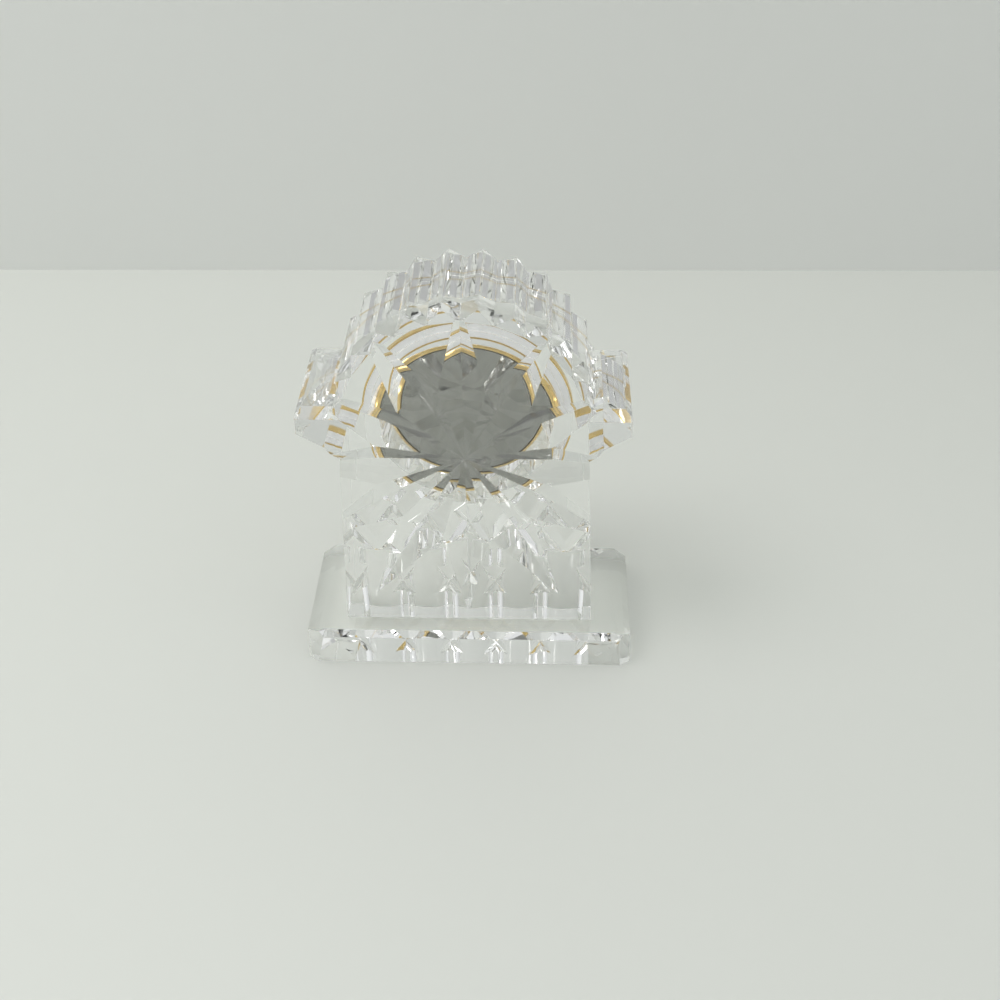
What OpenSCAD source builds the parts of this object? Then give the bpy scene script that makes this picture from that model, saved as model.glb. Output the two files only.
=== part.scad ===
// Crystal desk clock with a drop-in quartz insert. Millimetres, +Z up, the dial faces -Y.

/* [Base] */
// width of the base, side to side
base_w = 80; // [60:1:120]
// depth of the base, front to back
base_d = 35; // [28:1:60]
// height of the base
base_h = 9.6; // [6:0.1:16]
// drop of the bevels along the top edges of the base
base_bevel = 1.4; // [0.5:0.1:3]
// width of the shallow bevel on each end of the base
end_bevel_w = 4; // [1:0.1:6]
// distance of the slanted corner cut from the corner, at the top
corner_cut = 2.5; // [1:0.1:4]
// lean of the slanted corner cut, in degrees
corner_lean = 7.3; // [0:0.1:15]
// scallops along the front of the base
scallops = 5; // [1:1:7]
// distance between neighbouring scallops
scallop_pitch = 11.8; // [8:0.1:14]
// radius of each scallop
scallop_r = 8; // [6:0.1:14]
// depth of each scallop
scallop_depth = 2; // [0.5:0.1:3]

/* [Upright] */
// setback of the upright from the back of the base
back_ledge = 6; // [3:0.5:12]
// half width of the neck where it meets the base
foot_half = 30.3; // [26:0.1:34]
// half width of the neck under the ears
neck_half = 28.5; // [25:0.1:32]
// height of the narrowest part of the neck
neck_z = 57; // [50:0.5:62]
// half width over the ears
ear_half = 37.5; // [33:0.5:42]
// height of the top of the ears
ear_top = 71.2; // [66:0.1:76]
// height of the outer lower corner of the ears
ear_low = 65.1; // [60:0.1:68]
// height where the ears leave the neck
ear_root = 61.4; // [58:0.1:64]
// half width where the slope under the ears changes
ear_root_half = 31.5; // [29:0.1:34]
// bevel on the top edges of the ears
ear_bevel = 2.2; // [0.5:0.1:4]

/* [Arch] */
// radius over the ridges of the arch
arch_r = 30; // [24:0.5:36]
// height of the centre of the arch
arch_z = 66.5; // [60:0.5:72]
// angle from flute to flute, in degrees
flute_step = 15; // [10:1:30]
// depth of the flutes below the ridges
flute_depth = 2.4; // [0.5:0.1:3]
// length of the chamfer at each end of the arch
arch_chamfer = 1.5; // [0.5:0.1:4]

/* [Star] */
// height of the centre of the star
star_z = 58.6; // [54:0.1:64]
// slope of the sides of each cut, in degrees from the face
cut_slope = 29; // [20:1:50]
// radius of the wheel that sets the sweep of the nine shorter cuts
wheel_r = 65; // [40:1:120]
// depth of the nine shorter cuts
star_depth = 2.5; // [1:0.1:4]
// distance from the star's centre to the deepest point of a shorter cut
star_reach = 19.3; // [10:0.1:30]
// radius of the wheel that sets the sweep of the three long lower cuts
low_wheel_r = 90; // [60:1:140]
// depth of the three long lower cuts
low_depth = 2.9; // [1:0.1:4]
// distance from the star's centre to the deepest point of a long cut
low_reach = 23; // [15:0.1:30]
// distance from the star's centre to the far end of the long cuts
low_end = 46.5; // [35:0.5:48]

/* [Front cuts] */
// rows of crossing cuts, to each side of the middle
cross_side = 2; // [1:1:3]
// distance between neighbouring parallel cuts
cross_pitch = 11.9; // [8:0.1:16]
// lean of the crossing cuts from upright, in degrees
cross_lean = 34; // [20:1:45]
// height of the middle of the crossing cuts
cross_z = 18; // [12:0.5:24]
// half the length of each crossing cut
cross_half = 16; // [8:0.5:20]
// depth of each crossing cut
cross_depth = 1.5; // [0.5:0.1:3]

/* [Insert] */
// depth of the bore from the front face
bore_depth = 10; // [8:0.1:22]
// radius of the bore
bore_r = 22.9; // [20:0.1:26]
// height of the centre of the bore
bore_z = 59.2; // [55:0.1:68]
// radius of the insert's case
case_r = 21.9; // [18:0.1:25]
// depth of the case behind the front face
case_depth = 7.6; // [6:0.1:20]
// wall of the case
case_wall = 1; // [0.5:0.1:2]
// radius of the opening in the back of the case
lip_r = 19.9; // [15:0.1:21]
// radius of the raised middle of the case back
back_r = 19.5; // [15:0.1:21]
// radius of the bezel
bezel_r = 25; // [23:0.1:30]
// height of the bezel in front of the crystal
bezel_h = 3.6; // [2:0.1:6]
// radius of the bezel's front opening
view_r = 20.4; // [18:0.1:24]

/* [Hands] */
// length of the hour hand
hour_len = 11; // [8:0.5:14]
// length of the minute hand
minute_len = 16.5; // [12:0.5:18.5]
// length of the seconds hand
second_len = 17.5; // [12:0.5:19]
// hour shown
show_hour = 10; // [0:1:11]
// minute shown
show_minute = 9; // [0:1:59]
// second shown
show_second = 35; // [0:1:59]

/* [Gears] */
// distance from the centre to the third wheel
third_x = 7.2; // [7:0.1:7.4]
// distance from the centre to the intermediate wheel
inter_x = 7.2; // [6.5:0.1:8]
// distance from the intermediate wheel to the rotor
rotor_off = 6.16; // [5:0.01:7]
// distance from the centre to the minute wheel
minute_off = 6; // [5:0.1:7]
// distance from the minute wheel to the setting arbor
setting_off = 5.75; // [5:0.05:7]
// direction of the setting arbor, in degrees from the right
setting_dir = 104.7; // [90:0.1:120]
// direction of the rotor from the intermediate wheel, in degrees
rotor_dir = -75; // [-100:1:-50]
// thickness of the wheels
wheel_t = 0.3; // [0.2:0.05:0.5]
// running clearance of pivots and pipes, on the radius
run = 0.08; // [0.01:0.01:0.1]

/* [Hidden] */
slab_front = -base_d / 2;
slab_back = base_d / 2 - back_ledge;
slab_d = slab_back - slab_front;
over = 0.5;
nib = 1;
groove_r = arch_r - flute_depth;
ridge_half = flute_step / 2;
ridge_rise = arch_r * cos(ridge_half) - groove_r;
ridge_out = arch_r * sin(ridge_half);
flute_r = (ridge_rise * ridge_rise + ridge_out * ridge_out) / 2 / ridge_rise;
flutes_side = 5;
cut_half_w = 20;
stroke_share = 0.8;
star_end = 45;
grip_gap = 0.05;
grip_r = bore_r - grip_gap;
dial_r = case_r - case_wall;
plate_r = 18.6;
lens_r = 22;
lens_z = 2.3;
lens_t = 0.8;
snap_h = 1;
dial_t = 0.4;
ring_step_z = -1.8;
plate_t = 0.9;
plate_back = ring_step_z - plate_t;
sheet = 0.45;
back_flange = 0.4;
flange_z = -case_depth + 0.6;
ring_back = flange_z + back_flange;
bridge_back = -6.6;
bridge_t = 0.5;
bridge_front = bridge_back + bridge_t;
centre_z = -3.55;
third_z = -4.3;
second_z = -4.95;
inter_z = -5.75;
cannon_z = -1.6;
hour_z = -0.95;
arbor_r = 0.35;
pin_r = 0.3;
centre_pipe_r = 0.8;
cannon_pipe_r = 1.18;
hour_pipe_r = 1.6;
hand_t = 0.2;
hour_hand_z = 0.5;
minute_hand_z = 1.1;
second_hand_z = 1.65;
minute_angle = 90 - 6 * (show_minute + show_second / 60);
hour_angle = 90 - 30 * (show_hour + (show_minute + show_second / 60) / 60);
second_angle = 90 - 6 * show_second;
minute_x = minute_off * cos(setting_dir);
minute_y = minute_off * sin(setting_dir);
setting_x = (minute_off + setting_off) * cos(setting_dir);
setting_y = (minute_off + setting_off) * sin(setting_dir);
rotor_x = -inter_x + rotor_off * cos(rotor_dir);
rotor_y = rotor_off * sin(rotor_dir);
rotor_r = 1.4;
cell_r = 4.75;
cell_t = 2.7;
cell_dist = 13;
cell_dir = 72;
cell_x = cell_dist * cos(cell_dir);
cell_y = cell_dist * sin(cell_dir);
cell_front = plate_back - 0.3;
coil_y = -12.9;
coil_r = 1.5;
coil_z = -4.6;
coil_left = -3.5;
coil_right = 7.5;
core_t = 0.6;
core_w = 1.6;
core_left = -7.5;
core_right = 9.5;
stator_t = 0.5;
stator_z = coil_z - core_t / 2 + core_t;
hole_setting_r = 0.7;
setting_r = 0.5;
post_r = 1.1;
screw_r = 0.5;
screw_head_r = 0.9;
screw_head_t = 0.35;
posts = [[-13.2, -4.5], [14.6, -7.4], [-1.5, 9.2]];

// The insert's own frame: its axis is Z, its front is +Z and the crystal's front face is z = 0.
module insert_frame() {
  translate([0, slab_front, bore_z])
    rotate([90, 0, 0])
      children();
}

// A cylinder along Y, from the given y backwards to the other one.
module y_rod(r, y0, y1, facets) {
  translate([0, y1, 0])
    rotate([90, 0, 0])
      cylinder(h = y1 - y0, r = r, $fn = facets);
}

// A ring or disc between two heights.
module disc(r, z0, z1, hole = 0, facets = 96) {
  translate([0, 0, z0])
    difference() {
      cylinder(h = z1 - z0, r = r, $fn = facets);
      if (hole > 0)
        translate([0, 0, -over])
          cylinder(h = z1 - z0 + 2 * over, r = hole, $fn = facets);
    }
}

// The base slab with its bevels and slanted corners.
module base_block() {
  big = 2 * base_d;
  difference() {
    translate([-base_w / 2, -base_d / 2, 0])
      cube([base_w, base_d, base_h]);
    for (side = [-1, 1]) {
      // bevels along the front and the back
      translate([0, side * base_d / 2, base_h - base_bevel])
        rotate([side * 45, 0, 0])
          translate([-base_w, side > 0 ? 0 : -big, 0])
            cube([2 * base_w, big, big]);
      // wider, shallower bevels on the ends
      translate([side * base_w / 2, 0, base_h - base_bevel])
        rotate([0, side * atan(base_bevel / end_bevel_w), 0])
          translate([side > 0 ? -end_bevel_w * 2 : end_bevel_w * 2 - big, -base_d, 0])
            cube([big, 2 * base_d, big]);
    }
    for (sx = [0, 1], sy = [0, 1])
      mirror([sx, 0, 0])
        mirror([0, sy, 0])
          translate([base_w / 2, base_d / 2, base_h])
            rotate([0, 0, atan2(3, 2)])
              translate([-corner_cut, 0, 0])
                rotate([0, -corner_lean, 0])
                  translate([0, -base_d / 2, -2 * base_h])
                    cube([base_d, base_d, 3 * base_h]);
    for (i = [0 : scallops - 1])
      translate([(i - (scallops - 1) / 2) * scallop_pitch, slab_front - scallop_r + scallop_depth, -over])
        cylinder(h = base_h + 2 * over, r = scallop_r, $fn = 64);
  }
}

// Neck and ears as one slab, bevelled along the ear tops.
module neck_block() {
  big = 3 * ear_bevel;
  difference() {
    translate([0, slab_back, 0])
      rotate([90, 0, 0])
        linear_extrude(slab_d)
          polygon([[-foot_half, base_h - base_bevel], [foot_half, base_h - base_bevel], [neck_half, neck_z],
            [ear_root_half, ear_root], [ear_half, ear_low], [ear_half, ear_top], [-ear_half, ear_top],
            [-ear_half, ear_low], [-ear_root_half, ear_root], [-neck_half, neck_z]]);
    for (y = [slab_front, slab_back])
      translate([0, y, ear_top])
        rotate([45, 0, 0])
          cube([3 * ear_half, ear_bevel * sqrt(2), ear_bevel * sqrt(2)], center = true);
    for (side = [-1, 1])
      translate([side * ear_half, 0, ear_top])
        rotate([0, 45, 0])
          cube([ear_bevel, 2 * slab_d + big, ear_bevel], center = true);
  }
}

// The fluted arch with a chamfer at each end.
module arch_block() {
  translate([0, 0, arch_z])
    difference() {
      y_rod(arch_r, slab_front, slab_back, 96);
      for (i = [-flutes_side : flutes_side])
        rotate([0, i * flute_step, 0])
          translate([0, 0, groove_r + flute_r])
            y_rod(flute_r, slab_front - over, slab_back + over, 40);
      translate([0, slab_back, 0])
        chamfer_ring();
      translate([0, slab_front, 0])
        mirror([0, 1, 0])
          chamfer_ring();
    }
}

module chamfer_ring() {
  slope = flute_depth / arch_chamfer;
  rotate([-90, 0, 0])
    rotate_extrude($fn = 96)
      polygon([[groove_r - nib * slope, nib], [groove_r, 0], [arch_r, -arch_chamfer],
        [arch_r + nib * slope, -arch_chamfer - nib], [arch_r + 3, nib]]);
}

// One straight V stroke along Z, touching the wheel's sweep at t from the deepest point.
module stroke(radius, t, back, ahead) {
  translate([0, t * t / 2 / radius, t])
    rotate([-atan(t / radius), 0, 0])
      translate([0, 0, -back])
        linear_extrude(back + ahead)
          polygon([[0, 0], [cut_half_w, cut_half_w * tan(cut_slope)], [-cut_half_w, cut_half_w * tan(cut_slope)]]);
}

// A V cut in the back face, from the star's centre along +Z, deepest at reach: three strokes follow the wheel.
module ray_cut(radius, depth, reach, far_end) {
  t = stroke_share * sqrt(2 * radius * depth);
  translate([0, slab_back - depth, reach])
    intersection() {
      stroke(radius, 0, reach, far_end - reach);
      stroke(radius, -t, 2 * reach, 3 * reach);
      stroke(radius, t, 4 * reach, 2 * reach);
    }
}

module star_cuts() {
  translate([0, 0, star_z])
    for (i = [0 : 11])
      rotate([0, i * 30, 0])
        if (abs(i - 6) < 2)
          ray_cut(low_wheel_r, low_depth, low_reach, low_end);
        else
          ray_cut(wheel_r, star_depth, star_reach, star_end);
}

// A straight V cut in the front face, centred on the origin and running along Z.
module front_cut(half_len) {
  half_w = cross_depth / tan(cut_slope + 6);
  translate([0, slab_front, -half_len])
    linear_extrude(2 * half_len)
      polygon([[0, cross_depth], [half_w * 1.5, -cross_depth / 2], [-half_w * 1.5, -cross_depth / 2]]);
}

module cross_cuts() {
  for (i = [-cross_side : cross_side], lean = [-cross_lean, cross_lean])
    translate([i * cross_pitch, 0, cross_z])
      rotate([0, lean, 0])
        front_cut(cross_half);
}

module crystal_body() {
  color([0.93, 0.96, 0.97, 0.45])
    difference() {
      union() {
        base_block();
        neck_block();
        arch_block();
      }
      star_cuts();
      cross_cuts();
      translate([0, 0, bore_z])
        y_rod(bore_r, slab_front - over, slab_front + bore_depth, 96);
    }
}

// A spur gear: straight-sided teeth, the first one centred on the direction of phase.
module gear(teeth, pitch_r, thick, phase, hole = 0) {
  m = 2 * pitch_r / teeth;
  tip = pitch_r + 0.75 * m;
  root = pitch_r - m;
  step = 360 / teeth;
  pts = [for (i = [0 : teeth - 1], c = [[root, -0.3], [tip, -0.1], [tip, 0.1], [root, 0.3]])
    [c[0] * cos(phase + (i + c[1]) * step), c[0] * sin(phase + (i + c[1]) * step)]];
  linear_extrude(thick)
    difference() {
      polygon(pts);
      if (hole > 0)
        circle(r = hole, $fn = 32);
    }
}

// Openings between the spokes of a wheel.
module spokes(inner, outer, count, width) {
  difference() {
    circle(r = outer, $fn = 48);
    circle(r = inner, $fn = 32);
    for (i = [0 : count - 1])
      rotate(i * 360 / count)
        translate([0, -width / 2])
          square([outer + over, width]);
  }
}

module spoked_gear(teeth, pitch_r, phase, hub, hole = 0) {
  difference() {
    gear(teeth, pitch_r, wheel_t, phase, hole);
    translate([0, 0, -over])
      linear_extrude(wheel_t + 2 * over)
        spokes(hub, pitch_r * 0.8, 4, pitch_r * 0.16);
  }
}

module pin(r, z0, z1) {
  translate([0, 0, z0])
    cylinder(h = z1 - z0, r = r, $fn = 24);
}

module case() {
  color([0.85, 0.66, 0.3])
    insert_frame()
      rotate_extrude($fn = 96)
        polygon([[lip_r, -case_depth], [case_r, -case_depth], [case_r, snap_h], [dial_r, snap_h],
          [dial_r, flange_z], [lip_r, flange_z]]);
}

module bezel() {
  color([0.85, 0.66, 0.3])
    insert_frame()
      rotate_extrude($fn = 96)
        polygon([[case_r, 0], [bezel_r, 0], [bezel_r, bezel_h * 0.45], [bezel_r - 0.5, bezel_h * 0.75],
          [bezel_r - 1.4, bezel_h], [view_r, bezel_h], [view_r, lens_z + lens_t], [lens_r, lens_z + lens_t],
          [lens_r, lens_z], [dial_r, lens_z], [dial_r, snap_h], [case_r, snap_h]]);
}

module lens() {
  color([0.9, 0.95, 0.98, 0.35])
    insert_frame()
      disc(lens_r, lens_z, lens_z + lens_t);
}

module grip_ring() {
  color([0.9, 0.9, 0.88, 0.8])
    insert_frame()
      rotate_extrude($fn = 96)
        polygon([[case_r, -1], [grip_r - 0.3, -1], [grip_r, -1.5], [grip_r - 0.3, -2], [grip_r, -2.5],
          [grip_r - 0.3, -3], [grip_r, -3.5], [grip_r - 0.3, -4], [case_r, -4]]);
}

module dial() {
  color([0.96, 0.95, 0.91])
    insert_frame()
      union() {
        difference() {
          disc(dial_r, -dial_t, 0);
          translate([0, 0, -dial_t - over])
            cylinder(h = dial_t + 2 * over, r = hour_pipe_r + 0.3, $fn = 32);
        }
        for (i = [0 : 11])
          rotate(i * 30)
            translate([17.4, i % 3 == 0 ? -0.5 : -0.25, 0])
              cube([1.8, i % 3 == 0 ? 1 : 0.5, 0.12]);
      }
}

module dial_ring() {
  color([0.85, 0.66, 0.3])
    insert_frame()
      rotate_extrude($fn = 96)
        polygon([[19.6, 0], [dial_r, 0], [dial_r, lens_z], [view_r - 0.1, lens_z]]);
}

module hand(length, width, tail, boss, z, hole) {
  translate([0, 0, z])
    linear_extrude(hand_t)
      difference() {
        union() {
          circle(r = boss, $fn = 32);
          polygon([[-tail, -width / 3], [0, -width / 2], [length * 0.7, -width / 2], [length, 0],
            [length * 0.7, width / 2], [0, width / 2], [-tail, width / 3]]);
        }
        if (hole > 0)
          circle(r = hole, $fn = 32);
      }
}

module hour_hand() {
  color([0.1, 0.1, 0.11])
    insert_frame()
      rotate(hour_angle)
        hand(hour_len, 1.3, 3, 2.3, hour_hand_z, hour_pipe_r);
}

module minute_hand() {
  color([0.1, 0.1, 0.11])
    insert_frame()
      rotate(minute_angle)
        hand(minute_len, 1, 3.4, 1.9, minute_hand_z, cannon_pipe_r);
}

module second_hand() {
  color([0.8, 0.62, 0.25])
    insert_frame()
      rotate(second_angle)
        hand(second_len, 0.4, 5, 1.1, second_hand_z, arbor_r);
}

module case_back() {
  color([0.62, 0.63, 0.64])
    insert_frame()
      difference() {
        rotate_extrude($fn = 96)
          polygon([[0, -case_depth + 0.05], [back_r - 0.3, -case_depth + 0.05], [back_r, -case_depth + 0.35],
            [back_r, flange_z], [dial_r, flange_z], [dial_r, ring_back], [back_r - 0.6, ring_back],
            [back_r - 0.6, -case_depth + 0.05 + sheet], [0, -case_depth + 0.05 + sheet]]);
        translate([setting_x, setting_y, -case_depth - over])
          cylinder(h = 2, r = hole_setting_r, $fn = 32);
      }
}

module holder_ring() {
  color([0.93, 0.93, 0.92])
    insert_frame()
      rotate_extrude($fn = 96)
        polygon([[plate_r, ring_back], [dial_r, ring_back], [dial_r, -dial_t], [plate_r - 0.7, -dial_t],
          [plate_r - 0.7, ring_step_z], [plate_r, ring_step_z]]);
}

module main_plate() {
  color([0.83, 0.7, 0.4])
    insert_frame()
      difference() {
        union() {
          disc(plate_r, plate_back, ring_step_z);
          for (p = posts)
            translate([p[0], p[1], 0])
              disc(post_r, bridge_front, plate_back, screw_r, 32);
          disc(1.6, plate_back - 0.3, plate_back, centre_pipe_r + run, 32);
        }
        pin_hole(0, 0, centre_pipe_r + run);
        pin_hole(third_x, 0, pin_r + run);
        pin_hole(-inter_x, 0, pin_r + run);
        pin_hole(rotor_x, rotor_y, pin_r + run);
        pin_hole(minute_x, minute_y, pin_r + run);
        pin_hole(setting_x, setting_y, setting_r + run);
      }
}

module pin_hole(x, y, r) {
  translate([x, y, plate_back - over])
    cylinder(h = plate_t + 2 * over, r = r, $fn = 24);
}

module train_bridge() {
  color([0.83, 0.7, 0.4])
    insert_frame()
      translate([0, 0, bridge_back])
        linear_extrude(bridge_t)
          difference() {
            polygon([[-15, -6.2], [-8, -8.6], [-3, -8], [9, -3], [14, -9.3], [16.4, -7.6], [15.4, -4.5],
              [11, 2.2], [3, 4], [0.2, 10.3], [-3, 10.3], [-4, 4.5], [-9, 2.5], [-15, -3]]);
            circle(r = arbor_r + run, $fn = 24);
            translate([third_x, 0])
              circle(r = pin_r + run, $fn = 24);
            translate([-inter_x, 0])
              circle(r = pin_r + run, $fn = 24);
            translate([rotor_x, rotor_y])
              circle(r = pin_r + run, $fn = 24);
            for (p = posts)
              translate(p)
                circle(r = screw_r, $fn = 24);
          }
}

module bridge_screw(i) {
  color([0.7, 0.71, 0.73])
    insert_frame()
      translate([posts[i][0], posts[i][1], 0])
        difference() {
          union() {
            disc(screw_head_r, bridge_back - screw_head_t, bridge_back, 0, 24);
            pin(screw_r, bridge_back, plate_back - 0.4);
          }
          translate([-screw_head_r - over, -0.12, bridge_back - screw_head_t - over])
            cube([2 * screw_head_r + 2 * over, 0.24, over + 0.18]);
        }
}

module button_cell() {
  color([0.75, 0.76, 0.78])
    insert_frame()
      translate([cell_x, cell_y, cell_front - cell_t])
        rotate_extrude($fn = 48)
          polygon([[0, 0], [cell_r - 0.2, 0], [cell_r, 0.2], [cell_r, cell_t - 0.5], [cell_r - 0.6, cell_t - 0.4],
            [cell_r - 0.9, cell_t], [0, cell_t]]);
}

module cell_strap() {
  strap_w = 2.6;
  rise = cell_t + 0.3;
  color([0.78, 0.79, 0.8])
    insert_frame()
      translate([cell_x, cell_y, cell_front - cell_t])
        rotate(cell_dir + 90)
          union() {
            translate([-cell_r - 0.8, -strap_w / 2, -0.2])
              cube([2 * cell_r + 1.6, strap_w, 0.2]);
            for (x = [-cell_r - 0.8, cell_r + 0.5])
              translate([x, -strap_w / 2, 0])
                cube([0.3, strap_w, rise]);
          }
}

module contact_spring() {
  color([0.8, 0.7, 0.45])
    insert_frame()
      translate([cell_x, cell_y, plate_back - 0.3])
        rotate(cell_dir + 180)
          union() {
            cylinder(h = 0.3, r = 1.5, $fn = 32);
            translate([0, -0.5, 0])
              cube([cell_r + 0.6, 1, 0.3]);
          }
}

module circuit_board() {
  color([0.15, 0.42, 0.25])
    insert_frame()
      translate([0, 0, plate_back - 0.3])
        linear_extrude(0.3)
          difference() {
            polygon([[-16, 1.2], [-9.5, 1.2], [-6, 6.5], [-5, 12.5], [-8.5, 14.5], [-13.5, 10.5]]);
            translate([-inter_x, 0])
              circle(r = 1.2, $fn = 24);
          }
}

module chip() {
  color([0.06, 0.06, 0.07])
    insert_frame()
      translate([-8.6, 9.6, plate_back - 0.3 - 0.9])
        rotate_extrude($fn = 64)
          polygon([[0, 0], [0.9, 0.1], [1.6, 0.5], [1.8, 0.9], [0, 0.9]]);
}

module quartz_can() {
  color([0.82, 0.83, 0.85])
    insert_frame()
      translate([-12.6, 3.2, plate_back - 0.3 - 0.75])
        rotate([0, 90, 70])
          cylinder(h = 5.6, r = 0.75, $fn = 32);
}

module coil() {
  color([0.72, 0.4, 0.2])
    insert_frame()
      difference() {
        translate([coil_left, coil_y, coil_z])
          rotate([0, 90, 0])
            rotate_extrude($fn = 40)
              polygon([[0, 0], [coil_r + 0.15, 0], [coil_r + 0.15, 0.4], [coil_r, 0.4],
                [coil_r, coil_right - coil_left - 0.4], [coil_r + 0.15, coil_right - coil_left - 0.4],
                [coil_r + 0.15, coil_right - coil_left], [0, coil_right - coil_left]]);
        translate([coil_left - over, coil_y - core_w / 2, coil_z - core_t / 2])
          cube([coil_right - coil_left + 2 * over, core_w, core_t]);
      }
}

module coil_core() {
  color([0.5, 0.51, 0.53])
    insert_frame()
      translate([core_left, coil_y - core_w / 2, coil_z - core_t / 2])
        cube([core_right - core_left, core_w, core_t]);
}

module stator() {
  color([0.55, 0.56, 0.58])
    insert_frame()
      translate([0, 0, stator_z])
        linear_extrude(stator_t)
          difference() {
            union() {
              polygon([[core_left, coil_y - 0.8], [coil_left - 0.4, coil_y - 0.8], [coil_left - 0.8, -10.6],
                [-4.5, -8.4], [-8, -8.4], [core_left - 0.6, -10]]);
              polygon([[coil_right + 0.3, coil_y - 0.8], [core_right, coil_y - 0.8], [core_right, -9.4],
                [4, -9.2], [-1, -7.4], [-3.6, -4.4], [-5.2, -8], [-1, -10.4], [coil_right + 0.3, -10.9]]);
              translate([rotor_x, rotor_y])
                circle(r = 3, $fn = 48);
            }
            translate([rotor_x, rotor_y])
              circle(r = rotor_r + 0.35, $fn = 32);
          }
}

module rotor() {
  color([0.3, 0.31, 0.33])
    insert_frame()
      translate([rotor_x, rotor_y, 0])
        union() {
          disc(rotor_r, stator_z - 0.2, stator_z + stator_t + 0.2, 0, 32);
          pin(pin_r, bridge_back + 0.1, ring_step_z - 0.1);
          translate([0, 0, inter_z - 0.1])
            gear(8, rotor_off / 7, wheel_t + 0.2, rotor_dir);
        }
}

module intermediate_wheel() {
  color([0.85, 0.7, 0.38])
    insert_frame()
      translate([-inter_x, 0, 0])
        union() {
          translate([0, 0, inter_z])
            spoked_gear(48, rotor_off * 6 / 7, rotor_dir + 3.75, 1.6);
          pin(pin_r, bridge_back + 0.1, ring_step_z - 0.1);
          translate([0, 0, second_z - 0.1])
            gear(8, inter_x / 6, wheel_t + 0.2, 0);
          pin(0.75, inter_z, second_z);
        }
}

module seconds_wheel() {
  color([0.85, 0.7, 0.38])
    insert_frame()
      union() {
        translate([0, 0, second_z])
          spoked_gear(40, inter_x * 5 / 6, 184.5, 1.6);
        pin(arbor_r, bridge_back + 0.1, second_hand_z + hand_t + 0.1);
        translate([0, 0, third_z - 0.1])
          gear(8, third_x * 2 / 17, wheel_t + 0.2, 0);
        pin(0.6, second_z, third_z);
      }
}

module third_wheel() {
  color([0.85, 0.7, 0.38])
    insert_frame()
      translate([third_x, 0, 0])
        union() {
          translate([0, 0, third_z])
            spoked_gear(60, third_x * 15 / 17, 183, 1.6);
          pin(pin_r, bridge_back + 0.1, ring_step_z - 0.1);
          translate([0, 0, centre_z - 0.1])
            gear(8, third_x / 9, wheel_t + 0.2, 180);
          pin(0.6, third_z, centre_z);
        }
}

module centre_wheel() {
  color([0.85, 0.7, 0.38])
    insert_frame()
      difference() {
        union() {
          translate([0, 0, centre_z])
            spoked_gear(64, third_x * 8 / 9, 2.8125, 1.6);
          pin(centre_pipe_r, centre_z, second_hand_z - 0.25);
        }
        pin(arbor_r + run, centre_z - over, second_hand_z + over);
      }
}

module cannon_pinion() {
  color([0.85, 0.7, 0.38])
    insert_frame()
      difference() {
        union() {
          translate([0, 0, cannon_z])
            gear(12, minute_off / 4, wheel_t + 0.1, setting_dir + 15);
          pin(cannon_pipe_r, cannon_z + 0.1, minute_hand_z + hand_t);
        }
        pin(centre_pipe_r + run, cannon_z - over, minute_hand_z + over);
      }
}

module minute_wheel() {
  color([0.85, 0.7, 0.38])
    insert_frame()
      translate([minute_x, minute_y, 0])
        union() {
          translate([0, 0, cannon_z])
            spoked_gear(36, minute_off * 3 / 4, setting_dir, 1.5);
          pin(pin_r, plate_back + 0.05, -dial_t - 0.1);
          translate([0, 0, cannon_z + wheel_t])
            gear(10, minute_off / 5, hour_z + wheel_t - cannon_z - wheel_t + 0.05, setting_dir + 180);
        }
}

module hour_wheel() {
  color([0.85, 0.7, 0.38])
    insert_frame()
      difference() {
        union() {
          translate([0, 0, hour_z])
            gear(40, minute_off * 4 / 5, wheel_t, setting_dir + 4.5);
          pin(hour_pipe_r, hour_z, hour_hand_z + hand_t);
        }
        pin(cannon_pipe_r + run, hour_z - over, hour_hand_z + over + hand_t);
      }
}

module setting_arbor() {
  color([0.35, 0.35, 0.37])
    insert_frame()
      translate([setting_x, setting_y, 0])
        difference() {
          union() {
            translate([0, 0, cannon_z])
              gear(10, setting_off * 10 / 46, wheel_t, setting_dir + 18);
            pin(setting_r, -case_depth + 0.3, -dial_t - 0.1);
          }
          translate([-1, -0.1, -case_depth])
            cube([2, 0.2, 0.6]);
        }
}

module bridge_screw_left() {
  bridge_screw(0);
}

module bridge_screw_right() {
  bridge_screw(1);
}

module bridge_screw_top() {
  bridge_screw(2);
}

crystal_body();
case();
bezel();
lens();
grip_ring();
dial();
dial_ring();
hour_hand();
minute_hand();
second_hand();
case_back();
holder_ring();
main_plate();
train_bridge();
bridge_screw_left();
bridge_screw_right();
bridge_screw_top();
button_cell();
cell_strap();
contact_spring();
circuit_board();
chip();
quartz_can();
coil();
coil_core();
stator();
rotor();
intermediate_wheel();
seconds_wheel();
third_wheel();
centre_wheel();
cannon_pinion();
minute_wheel();
hour_wheel();
setting_arbor();
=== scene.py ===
"""Looks of a crystal desk clock with a push-in quartz insert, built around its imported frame.

Lengths are in millimetres and angles in degrees, unless a line says otherwise.
"""

import math

import bmesh
import bpy
from mathutils import Matrix, Vector


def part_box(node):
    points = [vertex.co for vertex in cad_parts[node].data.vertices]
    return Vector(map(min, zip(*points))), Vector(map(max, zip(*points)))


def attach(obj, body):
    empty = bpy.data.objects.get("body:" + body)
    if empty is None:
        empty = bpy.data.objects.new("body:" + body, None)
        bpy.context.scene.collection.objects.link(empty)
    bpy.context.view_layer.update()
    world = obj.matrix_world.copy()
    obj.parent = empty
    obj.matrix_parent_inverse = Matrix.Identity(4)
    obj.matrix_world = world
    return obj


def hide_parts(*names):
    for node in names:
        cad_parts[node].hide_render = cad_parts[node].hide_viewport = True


MM = 0.001

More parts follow.
